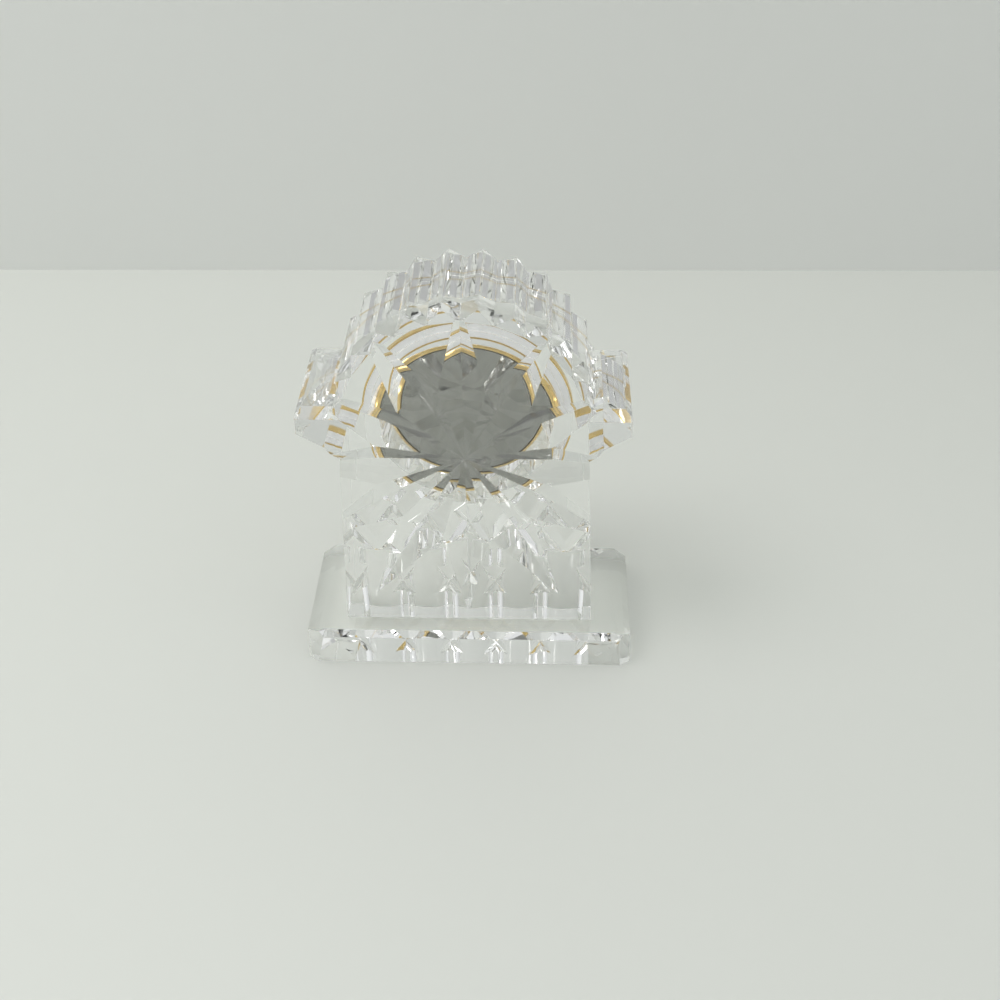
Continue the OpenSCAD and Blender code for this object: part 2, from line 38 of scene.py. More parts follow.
# Photographer's camera, for a square picture of 1000 pixels
IMAGE_SIDE = 1000
FOCAL_PIXELS = 1300.2
SENSOR_WIDTH = 36.0
CAMERA_PLACE = (-17.45, 248.4, 231.81)
CAMERA_PITCH = 37.93
CAMERA_YAW = 2.27
CAMERA_ROLL = -0.743
CAMERA_NEAR = 5.0

# Table and wall: the table lies a hair under the foot and runs on past the wall
TABLE_TONE = (0.64, 0.655, 0.62)
TABLE_ROUGHNESS = 0.45
TABLE_GAP = 0.06
TABLE_MARGIN = 20.0
WALL_TONE = (0.8, 0.815, 0.79)
WALL_ROUGHNESS = 0.8
WALL_DISTANCE = 189.0
WALL_TURN = -0.6
WALL_SINK = 1.0
STAGE_REACH = 900.0
PATCH_SCALE = 3.0
PATCH_SHADE = 0.985

# Room: its tones low and high, and how dark it gets behind the camera, on a sphere of radius 1
ROOM_LOW_TONE = (0.64, 0.65, 0.64)
ROOM_HIGH_TONE = (0.87, 0.89, 0.89)
ROOM_LOW = -0.2
ROOM_HIGH = 0.8
DARK_START = 0.35
DARK_END = 0.95
DARK_SIDE = 0.55

# Window: the one lamp, with its power in watts
WINDOW_PLACE = (620.0, 150.0, 1050.0)
WINDOW_AIM = (0.0, 0.0, 40.0)
WINDOW_SIDE = 600.0
WINDOW_POWER = 6.15
WINDOW_TONE = (1.0, 0.99, 0.97)

# Light paths
GLASS_BOUNCES = 24
METAL_BOUNCES = 12
MATT_BOUNCES = 4

# Noise: it seldom leaves these bounds, so tones and gloss are spread between them
NOISE_LOW = 0.3
NOISE_HIGH = 0.7
NOISE_DETAIL = 3.0
GRAIN_DETAIL = 4.0
EVEN_GRAIN = (400, 400, 400)
LINED_GRAIN = (3000, 3000, 200)
PAINT_GRAIN = 600.0
METAL_BUMP = 0.15
PAINT_BUMP = 0.1
SURFACE_RELIEF = 0.01

# Crystal's surface: waves left by polishing, and arrises that look rounded
WAVE_SCALE = 160.0
WAVE_DETAIL = 1.0
WAVE_BUMP = 0.1
WAVE_RELIEF = 0.25
ARRIS_RADIUS = 0.16
ARRIS_SAMPLES = 4

# Steel back: brushed in rings
BACK_LIGHT = (0.325, 0.325, 0.305)
BACK_DARK = (0.305, 0.305, 0.287)
BACK_LEAST_ROUGH = 0.03
BACK_MOST_ROUGH = 0.06
RING_SCALE = 5200.0

# Grip collar: its glow is painted light, standing in for the light that clear plastic would carry
GRIP_LIGHT = (0.97, 0.97, 0.97)
GRIP_DARK = (0.93, 0.94, 0.94)
GRIP_PAINTED_LIGHT_TONE = (0.93, 0.94, 0.92)
GRIP_PAINTED_LIGHT = 0.16
GRIP_CLEARNESS = 0.1
GRIP_LEAST_ROUGH = 0.25
GRIP_MOST_ROUGH = 0.4
GRIP_SMEARS = 500.0
PLASTIC_IOR = 1.49

# Coil: turns of wire with shade between them
WIRE_LIGHT = (0.8, 0.34, 0.16)
WIRE_DARK = (0.32, 0.1, 0.04)
WIRE_ROUGHNESS = 0.3
WIRE_SCALE = 2600.0
WIRE_DISTORTION = 0.4
WIRE_BUMP = 0.5
WIRE_RELIEF = 0.05

# Metals: light tone, dark tone, least roughness, most roughness, grain
METALS = {
    "gilt": ((0.86, 0.63, 0.25), (0.76, 0.53, 0.19), 0.12, 0.22, EVEN_GRAIN),
    "screw_steel": ((0.66, 0.67, 0.68), (0.5, 0.51, 0.52), 0.2, 0.35, EVEN_GRAIN),
    "plate_brass": ((0.78, 0.6, 0.32), (0.66, 0.49, 0.24), 0.25, 0.4, LINED_GRAIN),
    "wheel_brass": ((0.84, 0.66, 0.34), (0.72, 0.54, 0.26), 0.2, 0.32, EVEN_GRAIN),
    "soft_iron": ((0.46, 0.46, 0.47), (0.34, 0.34, 0.35), 0.3, 0.45, EVEN_GRAIN),
    "blued_steel": ((0.06, 0.06, 0.07), (0.04, 0.04, 0.05), 0.35, 0.5, EVEN_GRAIN),
    "cell_steel": ((0.74, 0.75, 0.76), (0.62, 0.63, 0.64), 0.22, 0.36, EVEN_GRAIN),
    "spring_bronze": ((0.78, 0.6, 0.36), (0.64, 0.47, 0.27), 0.25, 0.4, EVEN_GRAIN),
    "arbor_steel": ((0.55, 0.55, 0.57), (0.42, 0.42, 0.44), 0.18, 0.3, EVEN_GRAIN),
}

# Paints, plastics and resin: light tone, dark tone, least roughness, most roughness, clear coat
PAINTS = {
    "black_print": ((0.02, 0.02, 0.022), (0.012, 0.012, 0.014), 0.35, 0.5, 0.0),
    "dial_paint": ((0.86, 0.84, 0.78), (0.82, 0.8, 0.73), 0.35, 0.45, 0.0),
    "hand_black": ((0.02, 0.02, 0.022), (0.01, 0.01, 0.012), 0.2, 0.3, 0.4),
    "white_plastic": ((0.85, 0.85, 0.83), (0.8, 0.8, 0.77), 0.4, 0.55, 0.0),
    "board_green": ((0.04, 0.2, 0.1), (0.025, 0.14, 0.07), 0.3, 0.45, 0.3),
    "epoxy_black": ((0.02, 0.02, 0.022), (0.01, 0.01, 0.011), 0.15, 0.3, 0.5),
}

# CAD nodes that stay in the picture, by their material
DRESSED = {
    "lens_glass": ["lens"],
    "gilt": ["dial_ring", "second_hand"],
    "dial_paint": ["dial"],
    "hand_black": ["hour_hand", "minute_hand"],
    "white_plastic": ["holder_ring"],
    "plate_brass": ["main_plate", "train_bridge"],
    "wheel_brass": ["intermediate_wheel", "seconds_wheel", "third_wheel", "centre_wheel",
                    "cannon_pinion", "minute_wheel", "hour_wheel"],
    "screw_steel": ["bridge_screw_left", "bridge_screw_right", "bridge_screw_top",
                    "cell_strap", "quartz_can"],
    "cell_steel": ["button_cell"],
    "spring_bronze": ["contact_spring"],
    "board_green": ["circuit_board"],
    "epoxy_black": ["chip"],
    "copper_wire": ["coil"],
    "soft_iron": ["coil_core", "stator"],
    "arbor_steel": ["rotor"],
    "blued_steel": ["setting_arbor"],
}

# Meshes: facets of a full turn, and what counts as smooth, flat or the same point
ROUND_FACETS = 128
SMOOTH_ANGLE = 5.0
FLAT_ANGLE = 0.3
PLANE_TOLERANCE = 1e-5
WELD_DISTANCE = 0.002
CUT_MARGIN = 1.0

# Crystal: foot, upright and arch
BASE_WIDTH = 80.0
BASE_DEPTH = 35.0
BASE_HEIGHT = 9.6
BASE_BEVEL = 1.4
END_BEVEL = 4.0
CORNER_CUT = 2.5
CORNER_LEAN = 7.3
# The corner cuts face 3 along Y for each 2 along X
CORNER_SLANT = (3, 2)
SCALLOPS = 5
SCALLOP_PITCH = 11.8
SCALLOP_RADIUS = 8.0
SCALLOP_DEPTH = 2.0
SLAB_FRONT = -BASE_DEPTH / 2
BACK_STEP = 6.0
SLAB_BACK = BASE_DEPTH / 2 - BACK_STEP
FOOT_HALF = 30.3
NECK_HALF = 28.5
NECK_HEIGHT = 57.0
EAR_HALF = 37.5
EAR_TOP = 71.2
EAR_LOW = 65.1
EAR_ROOT = 61.4
EAR_ROOT_HALF = 31.5
EAR_BEVEL = 2.2
ARCH_RADIUS = 30.0
ARCH_HEIGHT = 66.5
ARCH_CHAMFER = 1.5
ARCH_SKIRT = 4.0
VALLEY_RADIUS = 27.6
FLUTE_STEP = 15.0
FLUTES_SIDE = 5
# The chamfers' planes lie this far off the valleys' own corners, which they would otherwise hit
CHORD_RISE = 0.05
BORE_RADIUS = 22.9
BORE_HEIGHT = 59.2
BORE_DEPTH = 10.0

# Star cut in the back: each ray has its depth, the reach where it is deepest, and its end
STAR_HEIGHT = 56.6
STAR_RAYS = 12
STAR_DIP = 2.9
CUT_SLOPE = 29.0
RAY_HALF = 20.0
SHORT_RAY = (3.0, 20.0, 43.0)
LONG_RAY = (3.1, 22.0, 44.5)
# How many rays on each side of the one that points down are long too
LONG_SIDE = 1

# Crossing cuts in the front
CROSS_SIDE = 2
CROSS_PITCH = 11.9
CROSS_LEAN = 34.0
CROSS_HEIGHT = 18.0
CROSS_HALF = 16.0
CROSS_DEPTH = 1.5
CROSS_SLOPE = 35.0

# Insert: rings round the bore's axis, with their heights in front of the crystal's face
CASE_RADIUS = 21.9
CASE_DEPTH = 7.6
CASE_WALL = 1.0
CASE_ROUND = 1.2
ROUND_STEP = 15
LIP_RADIUS = 20.6
LIP_THICKNESS = 0.8
BACK_RADIUS = 20.3
BACK_THICKNESS = 0.4
HOLE_RADIUS = 0.7
BEZEL_RADIUS = 25.0
BEZEL_HEIGHT = 3.6
# The bezel's rounded edge: two heights as shares of its own, and how far its points lie inwards
BEZEL_STRAIGHT = 0.45
BEZEL_BEND = 0.75
BEND_INSET = 0.5
TOP_INSET = 1.4
VIEW_RADIUS = 20.4
LENS_RADIUS = 22.0
LENS_LOW = 2.3
LENS_HIGH = 3.1
SNAP_HEIGHT = 1.0
SEAT_GAP = 0.05
RIM_GAP = 0.05
TOUCH = 0.02
FLANGE_RADIUS = 24.6
FLANGE_THICKNESS = 0.35
FINGERS = 36
FINGER_LENGTH = 3.8
TIP_INSET = 0.4
TIP_LENGTH = 0.6
HOOP_LENGTH = 0.8

# Dial print
HOURS = 12
MINUTES = 60
NUMERAL_RADIUS = 14.6
NUMERAL_HEIGHT = 3.1
FONT_RATIO = 1.35
FONT_STEPS = 6
PRINT_THICKNESS = 0.02
TRACK_RADIUS = 17.0
TRACK_WIDTH = 0.9
MINUTE_TICK = 0.16
HOUR_TICK = 0.256

UPRIGHT = Matrix.Identity(4)
ALONG_Y = Matrix.Rotation(math.pi / 2, 4, "X")


def new_material(name):
    """A material with its node tree and its main shader."""
    material = bpy.data.materials.new(name)
    material.use_nodes = True
    return material, material.node_tree, material.node_tree.nodes["Principled BSDF"]


def add_node(tree, kind, **values):
    """A node of the given kind, with its options set."""
    node = tree.nodes.new(kind)
    for key, value in values.items():
        setattr(node, key, value)
    return node


def object_coordinates(tree, scale=(1, 1, 1)):
    """The object's own coordinates, in metres, stretched by the scale."""
    place = add_node(tree, "ShaderNodeTexCoord")
    mapping = add_node(tree, "ShaderNodeMapping")
    mapping.inputs["Scale"].default_value = scale
    tree.links.new(place.outputs["Object"], mapping.inputs["Vector"])
    return mapping.outputs["Vector"]


def noise(tree, vector, scale, detail=NOISE_DETAIL):
    """A soft random value at each place."""
    texture = add_node(tree, "ShaderNodeTexNoise")
    texture.inputs["Scale"].default_value = scale
    texture.inputs["Detail"].default_value = detail
    tree.links.new(vector, texture.inputs["Vector"])
    return texture.outputs["Fac"]


def ranged(tree, value, low, high):
    """A noise value spread from low to high."""
    spread = add_node(tree, "ShaderNodeMapRange")
    spread.inputs["From Min"].default_value = NOISE_LOW
    spread.inputs["From Max"].default_value = NOISE_HIGH
    spread.inputs["To Min"].default_value = low
    spread.inputs["To Max"].default_value = high
    tree.links.new(value, spread.inputs["Value"])
    return spread.outputs["Result"]


def blended(tree, value, first, second):
    """A tone between the first and the second, by a noise value."""
    ramp = add_node(tree, "ShaderNodeValToRGB")
    ramp.color_ramp.elements[0].position = NOISE_LOW
    ramp.color_ramp.elements[1].position = NOISE_HIGH
    ramp.color_ramp.elements[0].color = (*first, 1)
    ramp.color_ramp.elements[1].color = (*second, 1)
    tree.links.new(value, ramp.inputs["Fac"])
    return ramp.outputs["Color"]


def vary(tree, shader, value, light, dark, least_rough, most_rough):
    """Lets tone and gloss follow one noise value."""
    tree.links.new(blended(tree, value, dark, light), shader.inputs["Base Color"])
    tree.links.new(ranged(tree, value, least_rough, most_rough), shader.inputs["Roughness"])


def add_bump(tree, shader, height, strength, relief):
    """Small relief that follows a value, as deep as the relief says."""
    bump = add_node(tree, "ShaderNodeBump")
    bump.inputs["Strength"].default_value = strength
    bump.inputs["Distance"].default_value = relief * MM
    tree.links.new(height, bump.inputs["Height"])
    tree.links.new(bump.outputs["Normal"], shader.inputs["Normal"])
    return bump


def lighten_shadow(tree, shader, tone):
    """Lets lamps shine through glass, which tints their light instead of blocking it."""
    clear = add_node(tree, "ShaderNodeBsdfTransparent")
    clear.inputs["Color"].default_value = (*tone, 1)
    path = add_node(tree, "ShaderNodeLightPath")
    mix = add_node(tree, "ShaderNodeMixShader")
    tree.links.new(path.outputs["Is Shadow Ray"], mix.inputs["Fac"])
    tree.links.new(shader.outputs["BSDF"], mix.inputs[1])
    tree.links.new(clear.outputs["BSDF"], mix.inputs[2])
    tree.links.new(mix.outputs["Shader"], tree.nodes["Material Output"].inputs["Surface"])


def clear_material(name, tint, ior, smears, roughness, shadow):
    """Clear glass or plastic with faint smears, and a light shadow of the given tone."""
    material, tree, shader = new_material(name)
    shader.inputs["Base Color"].default_value = (*tint, 1)
    shader.inputs["Transmission Weight"].default_value = 1.0
    shader.inputs["IOR"].default_value = ior
    smear = noise(tree, object_coordinates(tree), smears)
    tree.links.new(ranged(tree, smear, 0.0, roughness), shader.inputs["Roughness"])
    lighten_shadow(tree, shader, shadow)
    return material


def crystal_material():
    """Lead crystal, with faint waves from cutting and polishing, and softened arrises."""
    material = clear_material("cut_crystal", tint=(0.995, 1.0, 0.995), ior=1.545, smears=900.0,
                              roughness=0.02, shadow=(0.66, 0.67, 0.66))
    tree = material.node_tree
    height = noise(tree, object_coordinates(tree), WAVE_SCALE, WAVE_DETAIL)
    waves = add_bump(tree, tree.nodes["Principled BSDF"], height, WAVE_BUMP, WAVE_RELIEF)
    arris = add_node(tree, "ShaderNodeBevel", samples=ARRIS_SAMPLES)
    arris.inputs["Radius"].default_value = ARRIS_RADIUS * MM
    tree.links.new(arris.outputs["Normal"], waves.inputs["Normal"])
    return material


def lens_material():
    """The insert's moulded lens."""
    return clear_material("lens_glass", tint=(0.99, 0.995, 0.99), ior=PLASTIC_IOR, smears=500.0,
                          roughness=0.015, shadow=(0.95, 0.95, 0.95))


def metal_material(name, light, dark, least_rough, most_rough, grain):
    """Polished or grained metal, with its tone and gloss varied along the grain."""
    material, tree, shader = new_material(name)
    shader.inputs["Metallic"].default_value = 1.0
    value = noise(tree, object_coordinates(tree, grain), 1.0, GRAIN_DETAIL)
    vary(tree, shader, value, light, dark, least_rough, most_rough)
    add_bump(tree, shader, value, METAL_BUMP, SURFACE_RELIEF)
    return material


def paint_material(name, light, dark, least_rough, most_rough, coat):
    """Paint, plastic or resin with a slight unevenness in tone and gloss."""
    material, tree, shader = new_material(name)
    shader.inputs["Coat Weight"].default_value = coat
    value = noise(tree, object_coordinates(tree), PAINT_GRAIN)
    vary(tree, shader, value, light, dark, least_rough, most_rough)
    add_bump(tree, shader, value, PAINT_BUMP, SURFACE_RELIEF)
    return material


def back_material(centre):
    """Steel brushed in rings round the centre, which is in metres."""
    material, tree, shader = new_material("back_steel")
    shader.inputs["Metallic"].default_value = 1.0
    place = add_node(tree, "ShaderNodeTexCoord")
    offset = add_node(tree, "ShaderNodeVectorMath", operation="SUBTRACT")
    offset.inputs[1].default_value = centre
    flat = add_node(tree, "ShaderNodeVectorMath", operation="MULTIPLY")
    flat.inputs[1].default_value = (1, 0, 1)
    reach = add_node(tree, "ShaderNodeVectorMath", operation="LENGTH")
    rings = add_node(tree, "ShaderNodeTexNoise", noise_dimensions="1D")
    rings.inputs["Scale"].default_value = RING_SCALE
    rings.inputs["Detail"].default_value = GRAIN_DETAIL
    tree.links.new(place.outputs["Object"], offset.inputs[0])
    tree.links.new(offset.outputs["Vector"], flat.inputs[0])
    tree.links.new(flat.outputs["Vector"], reach.inputs[0])
    tree.links.new(reach.outputs["Value"], rings.inputs["W"])
    vary(tree, shader, rings.outputs["Fac"], BACK_LIGHT, BACK_DARK,
         BACK_LEAST_ROUGH, BACK_MOST_ROUGH)
    return material


def grip_material():
    """Soft translucent plastic of the insert's grip collar, brightened by a painted glow."""
    material, tree, shader = new_material("grip_plastic")
    shader.inputs["Transmission Weight"].default_value = GRIP_CLEARNESS
    # Painted light: a faint glow makes the collar look lit through the plastic
    shader.inputs["Emission Color"].default_value = (*GRIP_PAINTED_LIGHT_TONE, 1)
    shader.inputs["Emission Strength"].default_value = GRIP_PAINTED_LIGHT
    shader.inputs["IOR"].default_value = PLASTIC_IOR
    value = noise(tree, object_coordinates(tree), GRIP_SMEARS)
    vary(tree, shader, value, GRIP_LIGHT, GRIP_DARK, GRIP_LEAST_ROUGH, GRIP_MOST_ROUGH)
    return material


def wire_material():
    """Enamelled copper wire, wound along X."""
    material, tree, shader = new_material("copper_wire")
    shader.inputs["Metallic"].default_value = 1.0
    shader.inputs["Roughness"].default_value = WIRE_ROUGHNESS
    turns = add_node(tree, "ShaderNodeTexWave", wave_type="BANDS", bands_direction="X")
    turns.inputs["Scale"].default_value = WIRE_SCALE
    turns.inputs["Distortion"].default_value = WIRE_DISTORTION
    tree.links.new(object_coordinates(tree), turns.inputs["Vector"])
    tone = blended(tree, turns.outputs["Fac"], WIRE_DARK, WIRE_LIGHT)
    tree.links.new(tone, shader.inputs["Base Color"])
    add_bump(tree, shader, turns.outputs["Fac"], WIRE_BUMP, WIRE_RELIEF)
    return material


def dress(node, material):
    """Gives a CAD node its material."""
    node.data.materials.clear()
    node.data.materials.append(material)


def trim(mesh, planes):
    """Cuts a closed mesh by planes, each a point and the direction that falls away."""
    for point, away in planes:
        parts = mesh.verts[:] + mesh.edges[:] + mesh.faces[:]
        cut = bmesh.ops.bisect_plane(mesh, geom=parts, dist=PLANE_TOLERANCE, plane_co=point,
                                     plane_no=away, clear_outer=True)
        rim = [part for part in cut["geom_cut"] if isinstance(part, bmesh.types.BMEdge)]
        bmesh.ops.edgeloop_fill(mesh, edges=rim)


def prism(outline, start, end):
    """A closed mesh that runs along Y, from an outline in X and Z."""
    mesh = bmesh.new()
    low = [mesh.verts.new((x, start, z)) for x, z in outline]
    high = [mesh.verts.new((x, end, z)) for x, z in outline]
    count = len(outline)
    mesh.faces.new(low[::-1])
    mesh.faces.new(high)
    for i in range(count):
        j = (i + 1) % count
        mesh.faces.new((low[i], low[j], high[j], high[i]))
    bmesh.ops.recalc_face_normals(mesh, faces=mesh.faces)
    return mesh


def block(low, high):
    """A closed box between two corners."""
    outline = [(low[0], low[2]), (high[0], low[2]), (high[0], high[2]), (low[0], high[2])]
    return prism(outline, low[1], high[1])


def rod(radius, length, place, turn):
    """A round bar of the given length, centred on its place."""
    mesh = bmesh.new()
    bmesh.ops.create_cone(mesh, cap_ends=True, segments=ROUND_FACETS, radius1=radius,
                          radius2=radius, depth=length, matrix=Matrix.Translation(place) @ turn)
    return mesh


def revolved(profile):
    """A closed ring round the bore's axis, from a profile of radius and height."""
    mesh = bmesh.new()
    rings = []
    for step in range(ROUND_FACETS):
        angle = 2 * math.pi * step / ROUND_FACETS
        rings.append([
            mesh.verts.new((r * math.cos(angle), SLAB_FRONT - h, BORE_HEIGHT + r * math.sin(angle)))
            for r, h in profile])
    count = len(profile)
    for step, ring in enumerate(rings):
        following = rings[(step + 1) % ROUND_FACETS]
        for i in range(count):
            j = (i + 1) % count
            mesh.faces.new((ring[i], ring[j], following[j], following[i]))
    bmesh.ops.recalc_face_normals(mesh, faces=mesh.faces)
    return mesh


def scratch_object(mesh):
    """Turns a mesh in millimetres into an object in metres."""
    data = bpy.data.meshes.new("scratch")
    mesh.to_mesh(data)
    mesh.free()
    data.transform(Matrix.Scale(MM, 4))
    piece = bpy.data.objects.new("scratch", data)
    bpy.context.scene.collection.objects.link(piece)
    return piece


def combined(name, first, steps=()):
    """One mesh of the first solid and the steps after it, each an operation and a solid."""
    body = scratch_object(first)
    tools = []
    for operation, mesh in steps:
        tool = scratch_object(mesh)
        modifier = body.modifiers.new(operation.lower(), "BOOLEAN")
        modifier.operation = operation
        modifier.object = tool
        modifier.solver = "MANIFOLD"
        tools.append(tool)
    bpy.context.view_layer.update()
    result = body.evaluated_get(bpy.context.evaluated_depsgraph_get())
    data = bpy.data.meshes.new_from_object(result)
    data.name = name
    for piece in [body] + tools:
        bpy.data.objects.remove(piece)
    mesh = bmesh.new()
    mesh.from_mesh(data)
    bmesh.ops.remove_doubles(mesh, verts=mesh.verts, dist=WELD_DISTANCE * MM)
    bmesh.ops.dissolve_limit(mesh, angle_limit=math.radians(FLAT_ANGLE), verts=mesh.verts,
                             edges=mesh.edges)
    mesh.to_mesh(data)
    mesh.free()
    return data


def add_piece(data, material, body, node):
    """A finished piece of metal, plastic or crystal that stands for one CAD node."""
    data.polygons.foreach_set("use_smooth", [True] * len(data.polygons))
    data.set_sharp_from_angle(angle=math.radians(SMOOTH_ANGLE))
    piece = bpy.data.objects.new(data.name, data)
    bpy.context.scene.collection.objects.link(piece)
    piece.data.materials.clear()
    piece.data.materials.append(material)
    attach(piece, body)
    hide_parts(node)


def base_solid():
    """The foot: bevelled along the top and slanted at its corners."""
    half_width, half_depth = BASE_WIDTH / 2, BASE_DEPTH / 2
    shoulder = BASE_HEIGHT - BASE_BEVEL
    mesh = block((-half_width, -half_depth, 0), (half_width, half_depth, BASE_HEIGHT))
    planes = []
    for side in (-1, 1):
        planes.append(((0, side * half_depth, shoulder), (0, side, 1)))
        planes.append(((side * half_width, 0, shoulder), (side * BASE_BEVEL, 0, END_BEVEL)))
    bearing = math.atan2(*CORNER_SLANT)
    outward = Vector((math.cos(bearing), math.sin(bearing)))
    reach = Vector((half_width, half_depth)) - CORNER_CUT * outward
    lean = math.tan(math.radians(CORNER_LEAN))
    for side in (-1, 1):
        for end in (-1, 1):
            away = (side * math.cos(bearing), end * math.sin(bearing), lean)
            planes.append(((side * reach.x, end * reach.y, BASE_HEIGHT), away))
    trim(mesh, planes)
    return mesh


def upright_solid():
    """Neck and ears in one slab, bevelled along the tops of the ears."""
    side = [(FOOT_HALF, BASE_HEIGHT - BASE_BEVEL), (NECK_HALF, NECK_HEIGHT),
            (EAR_ROOT_HALF, EAR_ROOT), (EAR_HALF, EAR_LOW), (EAR_HALF, EAR_TOP)]
    mesh = prism(side + [(-x, z) for x, z in side[::-1]], SLAB_FRONT, SLAB_BACK)
    planes = [((0, SLAB_FRONT, EAR_TOP - EAR_BEVEL), (0, -1, 1)),
              ((0, SLAB_BACK, EAR_TOP - EAR_BEVEL), (0, 1, 1))]
    for way in (-1, 1):
        planes.append(((way * (EAR_HALF - EAR_BEVEL / math.sqrt(2)), 0, EAR_TOP), (way, 0, 1)))
    trim(mesh, planes)
    return mesh


def arch_solid():
    """The arch: sharp ridges and V flutes, each ridge cut back by one flat triangle at the rear."""
    ridges = [(i - FLUTES_SIDE - 0.5) * FLUTE_STEP for i in range(2 * FLUTES_SIDE + 2)]
    turns = [(ridges[0], ARCH_RADIUS)]
    for ridge in ridges[1:]:
        turns += [(ridge - FLUTE_STEP / 2, VALLEY_RADIUS), (ridge, ARCH_RADIUS)]
    outline = [(r * math.sin(math.radians(a)), ARCH_HEIGHT + r * math.cos(math.radians(a)))
               for a, r in turns]
    edge = ARCH_RADIUS * math.sin(math.radians(ridges[-1]))
    outline += [(edge, ARCH_HEIGHT - ARCH_SKIRT), (-edge, ARCH_HEIGHT - ARCH_SKIRT)]
    mesh = prism(outline, SLAB_FRONT, SLAB_BACK)
    chord = VALLEY_RADIUS * math.cos(math.radians(FLUTE_STEP / 2)) + CHORD_RISE
    planes = []
    for ridge in ridges:
        outward = Vector((math.sin(math.radians(ridge)), 0, math.cos(math.radians(ridge))))
        point = Vector((0, SLAB_BACK, ARCH_HEIGHT)) + chord * outward
        planes.append((point, outward * ARCH_CHAMFER + Vector((0, ARCH_RADIUS - chord, 0))))
    trim(mesh, planes)
    return mesh


def ray_solid(turn, depth, reach, end):
    """One V cut of the star: from the central dip to its full depth, then out to its point."""
    slope = math.tan(math.radians(CUT_SLOPE))
    mesh = block((-RAY_HALF, -SLAB_BACK, -CUT_MARGIN),
                 (RAY_HALF, RAY_HALF * slope, end + CUT_MARGIN))
    sink = Matrix.Rotation(math.atan2(depth - STAR_DIP, reach), 3, "X")
    rise = Matrix.Rotation(-math.atan2(depth, end - reach), 3, "X")
    planes = []
    for side in (-1, 1):
        away = Vector((side * slope, -1, 0))
        planes += [((0, -STAR_DIP, 0), sink @ away), ((0, 0, end), rise @ away)]
    trim(mesh, planes)
    lean = Matrix.Rotation(math.radians(turn), 4, "Y")
    place = Matrix.Translation((0, SLAB_BACK, STAR_HEIGHT)) @ lean
    bmesh.ops.transform(mesh, matrix=place, verts=mesh.verts)
    return mesh


def cross_solid(across, turn):
    """One straight V cut in the front face."""
    half_width = CROSS_DEPTH / math.tan(math.radians(CROSS_SLOPE))
    mesh = block((-2 * half_width, -2 * CROSS_DEPTH, -CROSS_HALF),
                 (2 * half_width, 2 * CROSS_DEPTH, CROSS_HALF))
    trim(mesh, [((0, CROSS_DEPTH, 0), (side * CROSS_DEPTH, half_width, 0)) for side in (-1, 1)])
    lean = Matrix.Rotation(math.radians(turn), 4, "Y")
    place = Matrix.Translation((across, SLAB_FRONT, CROSS_HEIGHT)) @ lean
    bmesh.ops.transform(mesh, matrix=place, verts=mesh.verts)
    return mesh


def add_crystal(material):
    """The crystal with its star, its crossing cuts, its scallops and its bore."""
    steps = [("UNION", upright_solid()), ("UNION", arch_solid())]
    for i in range(SCALLOPS):
        across = (i - (SCALLOPS - 1) / 2) * SCALLOP_PITCH
        place = (across, SLAB_FRONT - SCALLOP_RADIUS + SCALLOP_DEPTH, 0)
        steps.append(("DIFFERENCE", rod(SCALLOP_RADIUS, 4 * BASE_HEIGHT, place, UPRIGHT)))
    bore = rod(BORE_RADIUS, 2 * BORE_DEPTH, (0, SLAB_FRONT, BORE_HEIGHT), ALONG_Y)
    steps.append(("DIFFERENCE", bore))
    for i in range(-CROSS_SIDE, CROSS_SIDE + 1):
        for lean in (-CROSS_LEAN, CROSS_LEAN):
            steps.append(("DIFFERENCE", cross_solid(i * CROSS_PITCH, lean)))
    for i in range(STAR_RAYS):
        ray = LONG_RAY if abs(i - STAR_RAYS // 2) <= LONG_SIDE else SHORT_RAY
        steps.append(("DIFFERENCE", ray_solid(i * 360 / STAR_RAYS, *ray)))
    data = combined("cut_crystal", base_solid(), steps)
    add_piece(data, material, "crystal", "crystal_body")


def add_case(material):
    """The insert's case, rounded where it meets the bottom of the bore."""
    back = -CASE_DEPTH
    inner = CASE_RADIUS - CASE_WALL
    profile = [(LIP_RADIUS, back)]
    for step in range(0, 90 + ROUND_STEP, ROUND_STEP):
        angle = math.radians(step)
        profile.append((CASE_RADIUS - CASE_ROUND * (1 - math.sin(angle)),
                        back + CASE_ROUND * (1 - math.cos(angle))))
    profile += [(CASE_RADIUS, SNAP_HEIGHT), (inner, SNAP_HEIGHT),
                (inner, back + LIP_THICKNESS), (LIP_RADIUS, back + LIP_THICKNESS)]
    data = combined("case_shell", revolved(profile))
    add_piece(data, material, "insert", "case")


def add_back(material):
    """The steel back, let into the case, with the hole through which the hands are set."""
    depth = SLAB_FRONT + CASE_DEPTH - SEAT_GAP - BACK_THICKNESS / 2
    low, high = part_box("setting_arbor")
    place = ((low.x + high.x) / 2 / MM, depth, (low.z + high.z) / 2 / MM)
    hole = rod(HOLE_RADIUS, 4 * BACK_THICKNESS, place, ALONG_Y)
    plate = rod(BACK_RADIUS, BACK_THICKNESS, (0, depth, BORE_HEIGHT), ALONG_Y)
    data = combined("steel_back", plate, [("DIFFERENCE", hole)])
    add_piece(data, material, "insert", "case_back")


